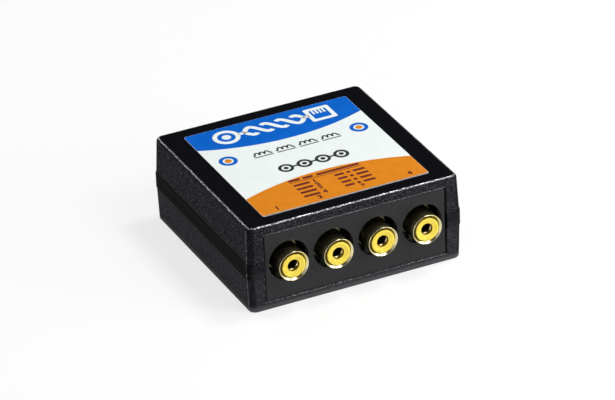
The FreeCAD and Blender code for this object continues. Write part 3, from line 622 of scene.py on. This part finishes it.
def turned(mesh: BMesh, profile: Outline, centre: Triple, steps: int) -> None:
    """Turn a closed profile round an axis that runs to the back.

    Args:
        mesh: The mesh to add to.
        profile: The profile's points, each a radius and a depth, in millimetres.
        centre: Where the axis starts.
        steps: How many steps a full turn has.
    """
    angles = [2 * math.pi * step / steps for step in range(steps)]
    rings = [[mesh.verts.new(Vector((centre[0] + radius * math.cos(angle), centre[1] + depth,
                                     centre[2] + radius * math.sin(angle))) * MM) for angle in angles]
             for radius, depth in profile]
    for first, second in zip(rings, rings[1:] + rings[:1]):
        for step in range(steps):
            following = (step + 1) % steps
            mesh.faces.new((first[step], first[following], second[following], second[step]))


def make_piece(name: str, build: Callable[[BMesh], None], finish: bpy.types.Material) -> bpy.types.Object:
    """Make a piece of its own mesh that rides on the part.

    Args:
        name: The piece's name.
        build: What fills its mesh.
        finish: Its material.

    Returns:
        The new piece.
    """
    data = bpy.data.meshes.new(name)
    mesh = bmesh.new()
    build(mesh)
    bmesh.ops.recalc_face_normals(mesh, faces=mesh.faces)
    mesh.to_mesh(data)
    mesh.free()
    piece = bpy.data.objects.new(name, data)
    bpy.context.scene.collection.objects.link(piece)
    data.materials.append(finish)
    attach(piece, "root")
    log.info("%s: %d faces", name, len(data.polygons))
    return piece


@dataclass
class Palette:
    """Every finish of the part, made once."""

    materials: dict[str, bpy.types.Material] = field(default_factory=dict)

    def of(self, finish: Finish) -> bpy.types.Material:
        """Return a finish's material, and make it when it is first asked for."""
        if finish.name not in self.materials:
            self.materials[finish.name] = finish.build()
        return self.materials[finish.name]


@dataclass
class CarriedNodes:
    """The CAD's own pieces, which keep their shape and get their finish here."""

    palette: Palette
    singles: dict[str, Finish] = field(default_factory=lambda: {
        "upper_shell": UPPER_CASE, "lower_shell": LOWER_CASE, "front_panel": PANEL_PLASTIC,
        "rear_panel": PANEL_PLASTIC, "circuit_board": BOARD, "socket_housing": BLACK_MOULDING,
        "socket_carrier": BLACK_MOULDING, "socket_contacts": GILT, "case_screws": SCREW_STEEL})
    per_channel: dict[str, Finish] = field(default_factory=lambda: {
        "jack_housing": BLACK_MOULDING, "jack_lug": TINNED_PLATE, "jack_barrel": GILT,
        "jack_insert": YELLOW_PLASTIC, "jack_contact": SHADE_DARKENED_GILT, "balun_core": FERRITE,
        "balun_winding": COPPER_WIRE})

    def dress(self) -> None:
        """Give every carried node its finish."""
        finishes = dict(self.singles)
        for name, finish in self.per_channel.items():
            finishes.update({f"{name}_{channel}": finish for channel in CHANNELS})
        for node, finish in finishes.items():
            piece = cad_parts[node]
            piece.data.materials.clear()
            piece.data.materials.append(self.palette.of(finish))
            log.info("%s: %s", node, finish.name)


@dataclass
class JackShells:
    """The jacks' gilt shells with their flared lips, and the dished insulators in them. Lengths are in millimetres."""

    palette: Palette
    places: tuple[float, ...] = (-19.05, -6.35, 6.35, 19.05)
    height: float = 12.75
    front: float = -32.1
    length: float = 9.0
    bore: float = 3.27
    radius: float = 4.15
    flange_radius: float = 4.8
    flange_thickness: float = 0.6
    lip: float = 0.02
    lip_round: float = 0.1
    lip_points: int = 9
    crest: float = 0.01
    flare_depth: float = 0.66
    insulator_recess: float = 0.02
    insulator_radius: float = 3.24
    insulator_back: float = 4.42
    insulator_edge: float = 0.12
    edge_points: int = 6
    dish_rim: float = 2.9
    dish_foot: float = 1.8
    dish_depth: float = 0.34
    dish_steps: int = 12
    mouth: float = 1.65
    mouth_edge: float = 0.03
    mouth_lead: float = 0.1
    mouth_back: float = 1.27
    seat: float = 2.1
    steps: int = 128
    sharp_angle: float = 35.0

    def build(self) -> None:
        """Turn the four shells and their insulators."""
        for channel, x in zip(CHANNELS, self.places):
            shell = self.turn(f"jack_shell_{channel}", x, self.profile(), GILT, "gold_plate")
            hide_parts(f"jack_barrel_{channel}")
            insulator = self.turn(f"jack_insulator_{channel}", x, self.insulator_profile(), YELLOW_PLASTIC,
                                  "yellow_plastic")
            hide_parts(f"jack_insert_{channel}")

    def turn(self, name: str, x: float, profile: Outline, finish: Finish, slot: str) -> bpy.types.Object:
        """Turn one piece of a jack at its place.

        Args:
            name: The piece's name.
            x: The jack's place across the panel, in millimetres.
            profile: The piece's section.
            finish: Its finish.
            slot: Not used.

        Returns:
            The new piece.
        """
        def fill(mesh: BMesh) -> None:
            """Fill the mesh with the turned form."""
            turned(mesh, profile, (x, self.front, self.height), self.steps)

        piece = make_piece(name, fill, self.palette.of(finish))
        piece.data.shade_smooth()
        piece.data.set_sharp_from_angle(angle=math.radians(self.sharp_angle))
        return piece

    def insulator_profile(self) -> Outline:
        """Return the insulator's section, dished towards the plug's way in."""
        front, edge = self.lip + self.insulator_recess, self.insulator_edge
        rim = arc(self.insulator_radius - edge, front + edge, edge, 0.0, -90.0, self.edge_points)
        shares = [step / self.dish_steps for step in range(self.dish_steps + 1)]
        dish = [(self.dish_rim + (self.dish_foot - self.dish_rim) * share,
                 front + self.dish_depth * (1 - math.cos(math.pi * share)) / 2) for share in shares]
        deep = front + self.dish_depth
        throat = [(self.mouth + self.mouth_edge, deep + self.mouth_edge), (self.mouth, deep + self.mouth_lead),
                  (self.mouth, self.mouth_back)]
        return ([(self.seat, self.insulator_back), (self.insulator_radius, self.insulator_back)] + rim + dish
                + throat + [(self.seat, self.mouth_back)])

    def profile(self) -> Outline:
        """Return the shell's section, with the lip's round outside and its flare inside."""
        rim = self.radius - self.lip_round
        outside = arc(rim, self.lip + self.lip_round, self.lip_round, 0.0, -90.0, self.lip_points)
        flare = [(rim - self.crest, self.lip), (self.bore, self.lip + self.flare_depth)]
        root = self.length - self.flange_thickness
        return [(self.bore, self.length), (self.flange_radius, self.length), (self.flange_radius, root),
                (self.radius, root)] + outside + flare


@dataclass
class Label:
    """The film on the lid and the shapes printed on it. Lengths are in millimetres."""

    palette: Palette
    left: float = -23.68
    right: float = 23.68
    front: float = -24.5
    back: float = 24.08
    corner: float = 0.6
    corner_points: int = 5
    under: float = 24.5
    film_top: float = 24.63
    field_top: float = 24.64
    mark_top: float = 24.65
    sink: float = 0.03
    margin: float = 0.04
    front_margin: float = 0.35
    blue_centre: Point = (0.86, 70.78)
    blue_radius: float = 60.44
    orange_centre: Point = (0.27, -72.4)
    orange_radius: float = 62.86
    number_places: tuple[float, ...] = (-18.6, -6.4, 6.0, 19.3)
    number_line: float = -22.85
    number_size: float = 2.24
    number_weight: float = 0.13
    curve_steps: int = 60
    ring_places: tuple[float, ...] = (-18.9, 19.0)
    ring_line: float = 6.6
    heading_line: float = -11.2
    first_row: float = -13.9
    row_pitch: float = 2.1

    def build(self) -> None:
        """Make the film, the coloured fields and the marks."""
        film = make_piece("label_film", self.film, self.palette.of(FILM))
        film.data.materials.append(self.palette.of(BARE_EDGE))
        for face in film.data.polygons:
            face.material_index = 0 if face.normal.z > 0.5 else 1
        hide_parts("top_label")
        for name, fill, finish in (
                ("blue_field", self.blue_field, BLUE_INK), ("orange_field", self.orange_field, ORANGE_INK),
                ("front_edge", self.front_edge, BARE_EDGE), ("line_symbol", self.line_symbol, FILM),
                ("jack_symbols", self.jack_symbols, DARK_INK), ("coils", self.coils, DARK_INK),
                ("rings", self.rings, BLUE_INK), ("dots", self.dots, ORANGE_INK),
                ("table", self.table, MAROON_INK)):
            make_piece(f"label_{name}", fill, self.palette.of(finish))
        self.numbers()

    def film(self, mesh: BMesh) -> None:
        """Fill the mesh with the film itself."""
        outline = rounded_box(self.left, self.right, self.front, self.back, self.corner)
        plate(mesh, outline, self.under, self.film_top)

    def field_plate(self, mesh: BMesh, outline: Outline) -> None:
        """Add one printed field."""
        plate(mesh, outline, self.film_top - self.sink, self.field_top)

    def mark(self, mesh: BMesh, outline: Outline, hole: Outline | None = None) -> None:
        """Add one printed mark, with a hole if it has one."""
        plate(mesh, outline, self.film_top - self.sink, self.mark_top, hole)

    def edge_height(self, centre: Point, radius: float, x: float, sign: int) -> float:
        """Return how far back a field's curved edge lies at a place across the label."""
        return centre[1] + sign * math.sqrt(radius ** 2 - (x - centre[0]) ** 2)

    def curve(self, centre: Point, radius: float, sign: int) -> Outline:
        """Return a field's curved edge from left to right."""
        left, right = self.left + self.margin, self.right - self.margin
        places = [left + (right - left) * step / self.curve_steps for step in range(self.curve_steps + 1)]
        return [(x, self.edge_height(centre, radius, x, sign)) for x in places]

    def blue_field(self, mesh: BMesh) -> None:
        """Fill the mesh with the blue field along the back."""
        left, right, back = self.left + self.margin, self.right - self.margin, self.back - self.margin
        round_off = self.corner - self.margin
        corners = arc(right - round_off, back - round_off, round_off, 0, 90, self.corner_points)
        corners += arc(left + round_off, back - round_off, round_off, 90, 180, self.corner_points)
        self.field_plate(mesh, self.curve(self.blue_centre, self.blue_radius, -1) + corners)

    def orange_field(self, mesh: BMesh) -> None:
        """Fill the mesh with the orange field along the front."""
        left, right, front = self.left + self.margin, self.right - self.margin, self.front + self.front_margin
        round_off = self.corner - self.margin
        corners = arc(left + round_off, front + round_off, round_off, 180, 270, self.corner_points)
        corners += arc(right - round_off, front + round_off, round_off, 270, 360, self.corner_points)
        self.field_plate(mesh, corners + self.curve(self.orange_centre, self.orange_radius, 1)[::-1])

    def front_edge(self, mesh: BMesh) -> None:
        """Fill the mesh with the bare strip along the front, which looks grey."""
        left, right, front = self.left + self.margin, self.right - self.margin, self.front + self.margin / 2
        back = self.front + self.front_margin
        round_off = self.corner - self.margin
        self.field_plate(mesh, [(left + round_off, front), (right - round_off, front), (right, back), (left, back)])

    def bar(self, mesh: BMesh, left: float, right: float, middle: float, thickness: float) -> None:
        """Add a bar that runs across the label."""
        self.mark(mesh, rectangle(left, right, middle - thickness / 2, middle + thickness / 2))

    def line_symbol(self, mesh: BMesh) -> None:
        """Draw a jack, a twisted pair and a modular socket in a row, in bare white film."""
        middle, start, end, stroke = 18.6, -8.6, 8.8, 1.35
        jack, radius, bore, dot, overlap = -13.8, 3.7, 2.45, 1.25, 0.2
        self.mark(mesh, circle(jack, middle, radius), circle(jack, middle, bore))
        self.mark(mesh, circle(jack, middle, dot))
        self.bar(mesh, jack + radius - overlap, start, middle, stroke)
        self.twisted_pair(mesh, start, end, middle, stroke)
        self.modular_socket(mesh, end, middle, stroke)

    def twisted_pair(self, mesh: BMesh, start: float, end: float, middle: float, stroke: float) -> None:
        """Draw two strands that cross.

        Args:
            mesh: The mesh to add to.
            start: Their left end, in millimetres.
            end: Their right end.
            middle: The line that they twist round.
            stroke: How thick they are.
        """
        halves, swing, gap, steps = 4, 2.1, 1.25, 16
        crossing = (end - start) / halves
        for strand in (0, 1):
            for half in range(halves):
                # Each strand dips under the other at every second crossing, where it is left open
                covered = [near for near in (half, half + 1) if near % 2 == strand and 0 < near < halves]
                low = start + crossing * half + (gap if half in covered else 0)
                high = start + crossing * (half + 1) - (gap if half + 1 in covered else 0)
                path = []
                for step in range(steps + 1):
                    x = low + (high - low) * step / steps
                    angle = math.pi * (x - start) / crossing
                    path.append((x, middle + (-1) ** strand * swing * math.sin(angle)))
                self.mark(mesh, ribbon(path, stroke))

    def modular_socket(self, mesh: BMesh, end: float, middle: float, stroke: float) -> None:
        """Draw a socket with its wires, and the line that leads to it.

        Args:
            mesh: The mesh to add to.
            end: Where the line starts, in millimetres.
            middle: The line's own middle.
            stroke: How thick the line is.
        """
        left, right, half_height, rim, radius, overlap = 9.9, 17.2, 3.6, 1.2, 0.6, 0.3
        low, high = middle - half_height, middle + half_height
        self.bar(mesh, end, left + overlap, middle, stroke)
        self.mark(mesh, rounded_box(left, right, low, high, radius),
                  rounded_box(left + rim, right - rim, low + rim, high - rim, radius / 2))
        wires, first, pitch, width, rise, sink = 4, 11.75, 1.02, 0.56, 0.2, 0.05
        for index in range(wires):
            side = first + pitch * index
            self.mark(mesh, rectangle(side, side + width, middle + rise, high - rim + sink))

    def jack_symbols(self, mesh: BMesh) -> None:
        """Draw the four jacks as rings with a dot, joined by a line."""
        middle, first, pitch, radius, bore, dot = -4.15, -7.4, 5.3, 2.1, 1.25, 0.68
        stroke, overlap = 0.7, 0.1
        for index in range(len(CHANNELS)):
            x = first + pitch * index
            self.mark(mesh, circle(x, middle, radius), circle(x, middle, bore))
            self.mark(mesh, circle(x, middle, dot))
            if index:
                self.bar(mesh, x - pitch + radius - overlap, x - radius + overlap, middle, stroke)

    def coils(self, mesh: BMesh) -> None:
        """Draw one small winding for each channel across the white field."""
        start, end, middle, gap, lead, stroke = -12.2, 12.9, 5.5, 1.1, 0.6, 0.5
        humps, steps, stretch, drop, thin = 3, 12, 1.9, 0.9, 0.8
        width = (end - start - (len(CHANNELS) - 1) * gap) / len(CHANNELS)
        radius = (width - 2 * lead) / (2 * humps)
        for index in range(len(CHANNELS)):
            left = start + index * (width + gap)
            self.bar(mesh, left, left + lead, middle, stroke)
            self.bar(mesh, left + width - lead, left + width, middle, stroke)
            for hump in range(humps):
                x = left + lead + radius * (2 * hump + 1)
                path = [(x + radius * math.cos(angle), middle + stretch * radius * math.sin(angle))
                        for angle in (math.pi * (1 - step / steps) for step in range(steps + 1))]
                self.mark(mesh, ribbon(path, stroke))
            self.bar(mesh, left, left + width, middle - drop, stroke * thin)

    def rings(self, mesh: BMesh) -> None:
        """Draw one blue ring at each side of the white field."""
        radius, bore = 2.5, 1.45
        for x in self.ring_places:
            self.mark(mesh, circle(x, self.ring_line, radius), circle(x, self.ring_line, bore))

    def dots(self, mesh: BMesh) -> None:
        """Draw the orange dot inside each ring."""
        radius = 0.95
        for x in self.ring_places:
            self.mark(mesh, circle(x, self.ring_line, radius))

    def table(self, mesh: BMesh) -> None:
        """Draw a heading and two columns of short bars."""
        half, radius, points = 0.48, 0.2, 3
        rule_left, rule_right, rule_line, rule_thickness = -10.3, 10.1, -12.25, 0.25
        bars = [(left, right, self.heading_line) for left, right in ((-10.2, -6.9), (-6.1, -3.2), (-2.2, 10.0))]
        for row in range(len(CHANNELS)):
            line = self.first_row - self.row_pitch * row
            bars += [(left, right, line) for left, right in ((-10.0, -5.4), (1.7, 4.4), (5.2, 6.2), (7.0, 10.4))]
        for left, right, middle in bars:
            self.mark(mesh, rounded_box(left, right, middle - half, middle + half, radius, points))
        self.bar(mesh, rule_left, rule_right, rule_line, rule_thickness)

    def numbers(self) -> None:
        """Set the channels' plain numbers over their jacks and at the table's rows."""
        places = [(str(channel), x, self.number_line) for channel, x in zip(CHANNELS, self.number_places)]
        column, drop = -4.0, 0.7
        places += [(str(channel), column, self.first_row - drop - self.row_pitch * row)
                   for row, channel in enumerate(CHANNELS)]

        def fill(mesh: BMesh) -> None:
            """Fill the mesh with every number."""
            for text, x, y in places:
                self.write(mesh, text, x, y)

        make_piece("label_numbers", fill, self.palette.of(MAROON_INK))

    def write(self, mesh: BMesh, text: str, x: float, y: float) -> None:
        """Add one number as a thin solid.

        Args:
            mesh: The mesh to add to.
            text: The number.
            x: Its middle across the label, in millimetres.
            y: Its foot's place to the back.
        """
        curve = bpy.data.curves.new("number", "FONT")
        curve.body = text
        curve.align_x = "CENTER"
        curve.size = self.number_size * MM
        curve.offset = self.number_weight * MM
        curve.extrude = (self.mark_top - self.film_top) * MM / 2
        written = bpy.data.objects.new("number", curve)
        flat = bpy.data.meshes.new_from_object(written)
        middle = (self.mark_top + self.film_top) / 2
        flat.transform(Matrix.Translation(Vector((x, y, middle)) * MM))
        mesh.from_mesh(flat)
        bpy.data.objects.remove(written)
        bpy.data.curves.remove(curve)
        bpy.data.meshes.remove(flat)


@dataclass(frozen=True)
class Softbox:
    """One area lamp, aimed at the middle of the part. Lengths are in metres."""

    name: str
    place: Triple
    width: float
    height: float
    power: float
    aim_height: float = 0.012

    def build(self) -> None:
        """Make the lamp."""
        data = bpy.data.lights.new(self.name, "AREA")
        data.shape = "RECTANGLE"
        data.size = self.width
        data.size_y = self.height
        data.energy = self.power
        lamp = bpy.data.objects.new(self.name, data)
        lamp.location = self.place
        aim = Vector((0.0, 0.0, self.aim_height)) - lamp.location
        lamp.rotation_euler = aim.to_track_quat("-Z", "Y").to_euler()
        lamp.visible_camera = False
        bpy.context.scene.collection.objects.link(lamp)
        log.info("%s: %.1f W", self.name, self.power)


@dataclass
class Studio:
    """The floor, the surroundings, the lamps and the camera. Lengths are in metres."""

    floor_half: float = 6.0
    floor_paper: float = 0.9
    floor_glow: float = 1.04
    floor_lift: float = 0.7
    surround: float = 0.35
    dark: float = 0.02
    ceiling: Span = (0.04, 0.2)
    camera_place: Triple = (-0.4251885, -0.9150581, 0.5732848)
    camera_turn: Triple = (60.857935, 1.898563, -25.994582)
    lens: float = 258.6997
    sensor: float = 36.0
    near: float = 0.01
    lamps: Sequence[Softbox] = (
        Softbox("overhead", (0.34, 0.02, 0.84), 0.19, 0.19, 2.9),
        Softbox("key", (0.34, -0.50, 0.68), 0.4, 0.34, 2.4),
        Softbox("right", (0.2, -0.16, 0.09), 0.14, 0.1, 0.25),
        Softbox("back_left", (-0.25, 0.75, 0.45), 0.3, 0.1, 0.65),
        Softbox("left", (-0.92, -0.5, 0.22), 0.24, 0.14, 1.4),
        Softbox("front_left", (-0.42, -1.0, 0.31), 0.9, 0.64, 0.9),
        Softbox("front", (0.46, -1.0, 0.40), 1.3, 0.5, 1.9))

    def build(self) -> None:
        """Set up everything round the part."""
        self.floor()
        self.world()
        for lamp in self.lamps:
            lamp.build()
        self.camera()
        bpy.context.scene.view_settings.view_transform = "Standard"

    def floor(self) -> None:
        """Lay the pale floor, which stays white where nothing shades it."""
        half = self.floor_half
        data = bpy.data.meshes.new("floor")
        data.from_pydata([(-half, -half, 0), (half, -half, 0), (half, half, 0), (-half, half, 0)], [], [(0, 1, 2, 3)])
        floor = bpy.data.objects.new("floor", data)
        bpy.context.scene.collection.objects.link(floor)
        sketch = NodeSketch.of_new("floor_paper")
        sketch.nodes.remove(sketch.shader)
        paper = sketch.add("BsdfDiffuse", {"Color": (*[self.floor_paper] * 3, 1.0)}).outputs["BSDF"]
        white = (1.0, 1.0, 1.0, 1.0)
        glow = sketch.add("Emission", {"Color": white, "Strength": self.floor_glow}).outputs["Emission"]
        share = sketch.math("MULTIPLY", self.seen(sketch), self.floor_lift)
        blend = sketch.add("MixShader", {0: share, 1: paper, 2: glow}).outputs["Shader"]
        sketch.feed(sketch.nodes["Material Output"].inputs["Surface"], blend)
        data.materials.append(sketch.owner)

    @staticmethod
    def seen(sketch: NodeSketch) -> Socket:
        """Return 1 for what the camera sees, straight, by reflection or through glass."""
        path = sketch.add("LightPath").outputs
        return sketch.highest(path["Is Camera Ray"], path["Is Glossy Ray"], path["Is Transmission Ray"])

    def world(self) -> None:
        """Surround the part with soft white, with a dark ceiling for what it mirrors."""
        world = bpy.data.worlds.new("studio")
        bpy.context.scene.world = world
        sketch = NodeSketch(world)
        sketch.nodes.clear()
        path = sketch.add("LightPath").outputs
        height = sketch.split(sketch.add("TexCoord").outputs["Generated"])["Z"]
        mirrored = sketch.highest(path["Is Glossy Ray"], path["Is Transmission Ray"])
        strength = sketch.blend(mirrored, self.surround, sketch.ramp(height, *self.ceiling, 1.0, self.dark))
        strength = sketch.blend(path["Is Camera Ray"], strength, 1.0)
        background = sketch.add("Background", {"Strength": strength}).outputs["Background"]
        sketch.feed(sketch.add("OutputWorld").inputs["Surface"], background)

    def camera(self) -> None:
        """Stand the camera where the photograph was taken from."""
        data = bpy.data.cameras.new("camera")
        data.lens = self.lens
        data.sensor_width = self.sensor
        data.clip_start = self.near
        camera = bpy.data.objects.new("camera", data)
        camera.location = self.camera_place
        camera.rotation_euler = Euler([math.radians(angle) for angle in self.camera_turn])
        bpy.context.scene.collection.objects.link(camera)
        bpy.context.scene.camera = camera


def main() -> None:
    """Dress the part and set up the studio."""
    logging.basicConfig(level=logging.INFO, format="%(name)s %(message)s")
    palette = Palette()
    CarriedNodes(palette).dress()
    JackShells(palette).build()
    Label(palette).build()
    Studio().build()


if __name__ == "__main__":
    main()
